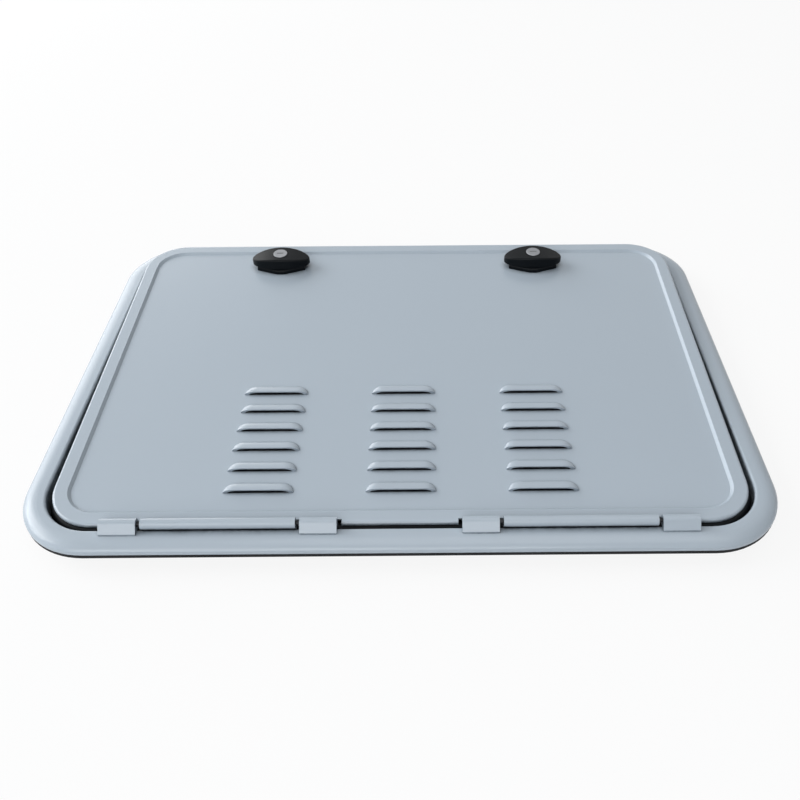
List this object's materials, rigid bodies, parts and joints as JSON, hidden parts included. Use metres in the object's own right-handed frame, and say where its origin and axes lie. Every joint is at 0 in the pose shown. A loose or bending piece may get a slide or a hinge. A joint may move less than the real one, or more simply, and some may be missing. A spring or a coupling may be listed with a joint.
{
  "type": "storage hatch door",
  "caption": "Rectangular outside hatch with rounded corners: a flanged frame, a louvred lift-up door on long hinges and turning locks with key barrels.",
  "frame": {"origin": "on the ground under the middle of the frame, level with the bottom edge of the neck", "axes": "+X along the hinge line, +Y from the hinges to the locks, +Z out of the wall"},
  "size_m": [0.65, 0.46, 0.0561],
  "materials": {
    "frame_paint": "gloss powder coat, pale blue-grey",
    "door_paint": "gloss powder coat, pale blue-grey",
    "gasket_foam": "matt black closed-cell foam",
    "seal_rubber": "matt black rubber",
    "pin_steel": "plain steel rod",
    "lock_plastic": "fine-grained black plastic",
    "lock_zinc": "bright zinc plate",
    "key_chrome": "satin chrome"
  },
  "bodies": {
    "frame": {"outer_frame": "frame_paint", "seal_ledge": "frame_paint", "wall_gasket": "gasket_foam", "door_seal": "seal_rubber", "hinge_clip_left_inner": "frame_paint", "hinge_clip_left_outer": "frame_paint", "hinge_clip_right_inner": "frame_paint", "hinge_clip_right_outer": "frame_paint", "hinge_pin_left": "pin_steel", "hinge_pin_right": "pin_steel"},
    "door": {"door_panel": "door_paint", "hinge_bar_left": "door_paint", "hinge_bar_right": "door_paint", "lock_base_left": "lock_plastic", "lock_base_right": "lock_plastic", "lock_housing_left": "lock_plastic", "lock_housing_right": "lock_plastic", "lock_nut_left": "lock_zinc", "lock_nut_right": "lock_zinc"},
    "left_lock": {"lock_knob_left": "lock_plastic", "key_barrel_left": "key_chrome", "lock_spindle_left": "lock_zinc", "lock_pawl_left": "lock_zinc", "pawl_nut_left": "lock_zinc"},
    "right_lock": {"lock_knob_right": "lock_plastic", "key_barrel_right": "key_chrome", "lock_spindle_right": "lock_zinc", "lock_pawl_right": "lock_zinc", "pawl_nut_right": "lock_zinc"}
  },
  "joints": [
    {"name": "door_swing", "type": "hinge", "parent": "frame", "child": "door", "pos_m": [0, -0.208, 0.0326], "axis": [1, 0, 0], "range_deg": [-1.87, 168]},
    {"name": "left_lock_turn", "type": "hinge", "parent": "door", "child": "left_lock", "pos_m": [-0.144, 0.16603, 0.03778], "axis": [0, -0.0326, 0.9995], "range_deg": [0, 90]},
    {"name": "right_lock_turn", "type": "hinge", "parent": "door", "child": "right_lock", "pos_m": [0.144, 0.16603, 0.03778], "axis": [0, 0.0326, -0.9995], "range_deg": [0, 90]}
  ]
}
